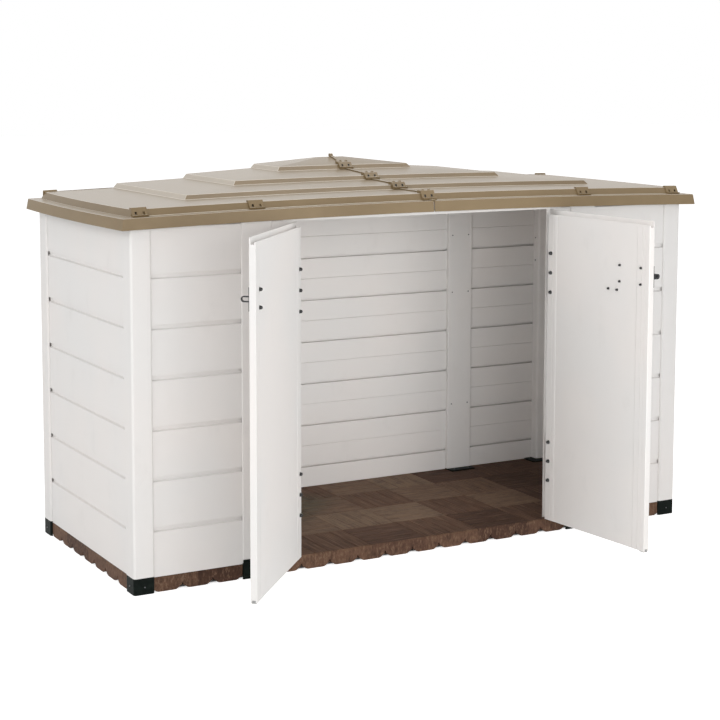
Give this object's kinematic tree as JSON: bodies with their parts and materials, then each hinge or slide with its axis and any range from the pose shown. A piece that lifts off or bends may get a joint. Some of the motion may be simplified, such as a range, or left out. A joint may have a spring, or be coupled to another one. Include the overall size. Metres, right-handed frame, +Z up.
{
  "type": "garden storage box",
  "caption": "Low garden storage box with interlocking board walls on posts, a stepped roof, a tiled floor, hinged front doors and a sliding bolt.",
  "frame": {"origin": "centre of the footprint, on the ground that the box stands on", "axes": "+X to the right along the width, -Y out of the doorway, +Z up"},
  "size_m": [2.1, 1.3079, 1.2445],
  "materials": {
    "board": "satin off-white",
    "post": "satin off-white",
    "trim": "satin off-white",
    "door": "satin off-white",
    "roof": "satin tan",
    "tile": "rough recycled plastic, brown",
    "foot": "moulded black",
    "fitting": "satin black",
    "cap": "black domed caps",
    "steel": "zinc plated",
    "glide": "grey"
  },
  "bodies": {
    "shed": {"floor_tile_front_1": "tile", "floor_tile_front_2": "tile", "floor_tile_front_3": "tile", "floor_tile_front_4": "tile", "floor_tile_front_5": "tile", "floor_tile_back_1": "tile", "floor_tile_back_2": "tile", "floor_tile_back_3": "tile", "floor_tile_back_4": "tile", "floor_tile_back_5": "tile", "corner_post_front_left": "post", "corner_post_front_right": "post", "corner_post_back_left": "post", "corner_post_back_right": "post", "mid_post_front_left": "post", "mid_post_front_right": "post", "mid_post_back_left": "post", "mid_post_back_right": "post", "corner_foot_front_left": "foot", "corner_foot_front_right": "foot", "corner_foot_back_left": "foot", "corner_foot_back_right": "foot", "mid_foot_front_left": "foot", "mid_foot_front_right": "foot", "mid_foot_back_left": "foot", "mid_foot_back_right": "foot", "wall_left": "board", "wall_right": "board", "wall_front_left": "board", "wall_front_right": "board", "wall_back_left": "board", "wall_back_centre": "board", "wall_back_right": "board", "jamb_left": "trim", "jamb_right": "trim", "door_header": "trim", "roof_left": "roof", "roof_right": "roof", "roof_joint_strip": "roof", "roof_joint_clips": "roof", "roof_clips": "roof", "post_screws": "steel", "foot_screws": "steel", "hinge_screws": "fitting", "hinge_brackets": "fitting", "hinge_pins": "steel"},
    "left_door": {"left_door_panel": "door", "left_door_stiles": "door", "left_door_glide": "glide", "left_hinge_straps": "fitting", "left_keeper": "fitting", "left_door_bolts": "cap"},
    "right_door": {"right_door_panel": "door", "right_door_stiles": "door", "right_door_glide": "glide", "right_hinge_straps": "fitting", "latch_body": "fitting", "pull_handle": "fitting", "right_door_bolts": "cap"},
    "latch_rod": {"latch_rod": "fitting"}
  },
  "joints": [
    {"name": "left_door_swing", "type": "hinge", "parent": "shed", "child": "left_door", "pos_m": [-0.4795, -0.404, 0.549], "axis": [0, 0, -1], "range_deg": [-132, 33]},
    {"name": "right_door_swing", "type": "hinge", "parent": "shed", "child": "right_door", "pos_m": [0.4795, -0.404, 0.549], "axis": [0, 0, 1], "range_deg": [-95, 70]},
    {"name": "latch_slide", "type": "slide", "parent": "right_door", "child": "latch_rod", "axis": [-0.0872, 0.9962, 0], "range_m": [-0.026, 0.01]}
  ]
}
